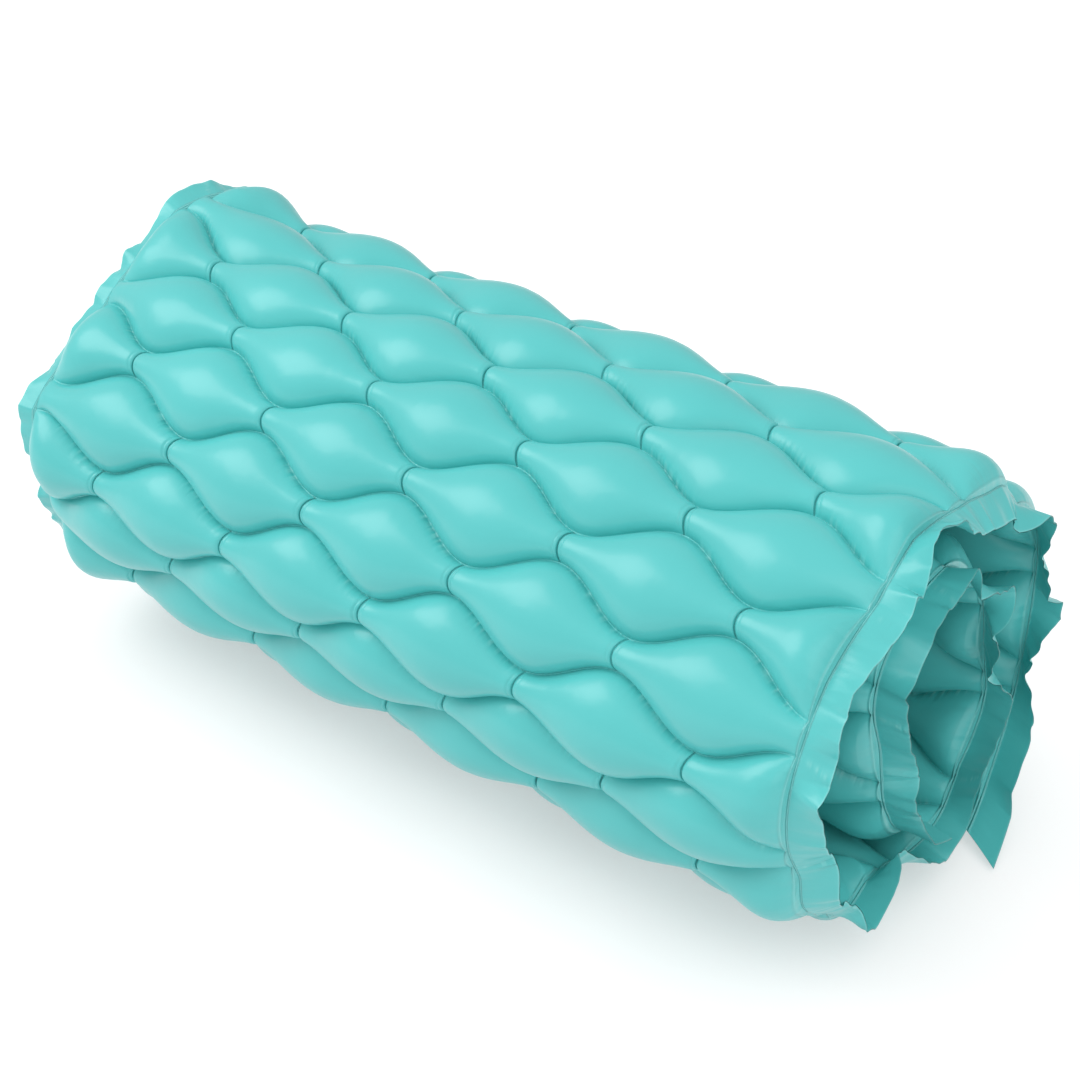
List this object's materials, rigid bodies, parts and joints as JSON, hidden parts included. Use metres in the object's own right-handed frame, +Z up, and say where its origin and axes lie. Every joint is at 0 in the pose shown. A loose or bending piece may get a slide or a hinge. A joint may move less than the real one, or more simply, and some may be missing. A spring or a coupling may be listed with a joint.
{
  "type": "rolled inflatable pool mat",
  "caption": "Inflated vinyl pool mat with wavy quilted air channels and a ruffled hem, rolled up loosely, with its inflation valve.",
  "frame": {"origin": "on the floor under the roll, at the middle of the flat underside of the lowest channel's middle bulge, half way between the roll's two ends", "axes": "+X along the roll towards its open near end, +Y towards the back where the mat's outer end hangs, +Z up"},
  "size_m": [0.7819, 0.3965, 0.3612],
  "materials": {
    "mat_vinyl": "smooth soft PVC film, satin gloss",
    "hem_vinyl": "two PVC films welded flat, thin and slightly translucent",
    "valve_vinyl": "soft moulded PVC, milky"
  },
  "bodies": {
    "roll": {"channel_09": "mat_vinyl", "channel_10": "mat_vinyl", "channel_11": "mat_vinyl", "channel_12": "mat_vinyl", "channel_13": "mat_vinyl", "channel_14": "mat_vinyl", "channel_15": "mat_vinyl", "channel_16": "mat_vinyl", "channel_17": "mat_vinyl", "channel_18": "mat_vinyl", "channel_19": "mat_vinyl", "channel_20": "mat_vinyl", "channel_21": "mat_vinyl", "channel_22": "mat_vinyl", "channel_23": "mat_vinyl", "channel_24": "mat_vinyl", "channel_25": "mat_vinyl", "channel_26": "mat_vinyl", "channel_27": "mat_vinyl", "channel_28": "mat_vinyl", "channel_29": "mat_vinyl", "channel_30": "mat_vinyl", "channel_31": "mat_vinyl", "inner_end_hem": "hem_vinyl"},
    "panel_08": {"channel_08": "mat_vinyl"},
    "panel_07": {"channel_07": "mat_vinyl"},
    "panel_06": {"channel_06": "mat_vinyl"},
    "panel_05": {"channel_05": "mat_vinyl"},
    "panel_04": {"channel_04": "mat_vinyl", "valve_flange": "valve_vinyl"},
    "panel_03": {"channel_03": "mat_vinyl"},
    "panel_02": {"channel_02": "mat_vinyl"},
    "panel_01": {"channel_01": "mat_vinyl", "outer_end_hem": "hem_vinyl"},
    "valve_stem": {"valve_stem": "valve_vinyl", "plug_strap": "valve_vinyl"},
    "check_flap": {"check_flap": "valve_vinyl"},
    "valve_plug": {"valve_plug": "valve_vinyl"}
  },
  "joints": [
    {"name": "seam_08_peel", "type": "hinge", "parent": "roll", "child": "panel_08", "pos_m": [0, 0.01493, 0.34081], "axis": [1, 0, 0], "range_deg": [0, 20]},
    {"name": "seam_07_peel", "type": "hinge", "parent": "panel_08", "child": "panel_07", "pos_m": [0, 0.07171, 0.33552], "axis": [1, 0, 0], "range_deg": [0, 20]},
    {"name": "seam_06_peel", "type": "hinge", "parent": "panel_07", "child": "panel_06", "pos_m": [0, 0.12826, 0.31513], "axis": [1, 0, 0], "range_deg": [0, 20]},
    {"name": "seam_05_peel", "type": "hinge", "parent": "panel_06", "child": "panel_05", "pos_m": [0, 0.15043, 0.26935], "axis": [1, 0, 0], "range_deg": [0, 20]},
    {"name": "seam_04_peel", "type": "hinge", "parent": "panel_05", "child": "panel_04", "pos_m": [0, 0.1815, 0.22939], "axis": [1, 0, 0], "range_deg": [0, 20]},
    {"name": "seam_03_peel", "type": "hinge", "parent": "panel_04", "child": "panel_03", "pos_m": [0, 0.18869, 0.17931], "axis": [1, 0, 0], "range_deg": [0, 20]},
    {"name": "seam_02_peel", "type": "hinge", "parent": "panel_03", "child": "panel_02", "pos_m": [0, 0.18962, 0.12835], "axis": [1, 0, 0], "range_deg": [0, 20]},
    {"name": "seam_01_peel", "type": "hinge", "parent": "panel_02", "child": "panel_01", "pos_m": [0, 0.1793, 0.07856], "axis": [1, 0, 0], "range_deg": [0, 20]},
    {"name": "valve_press", "type": "slide", "parent": "panel_04", "child": "valve_stem", "axis": [0, -0.9948, -0.1019], "range_m": [0, 0.008]},
    {"name": "plug_pull", "type": "slide", "parent": "valve_stem", "child": "valve_plug", "axis": [0, 0.9948, 0.1019], "range_m": [0, 0.012]},
    {"name": "check_flap_open", "type": "hinge", "parent": "valve_stem", "child": "check_flap", "pos_m": [-0.284, 0.19422, 0.21198], "axis": [-1, 0, 0], "range_deg": [0, 45]}
  ]
}
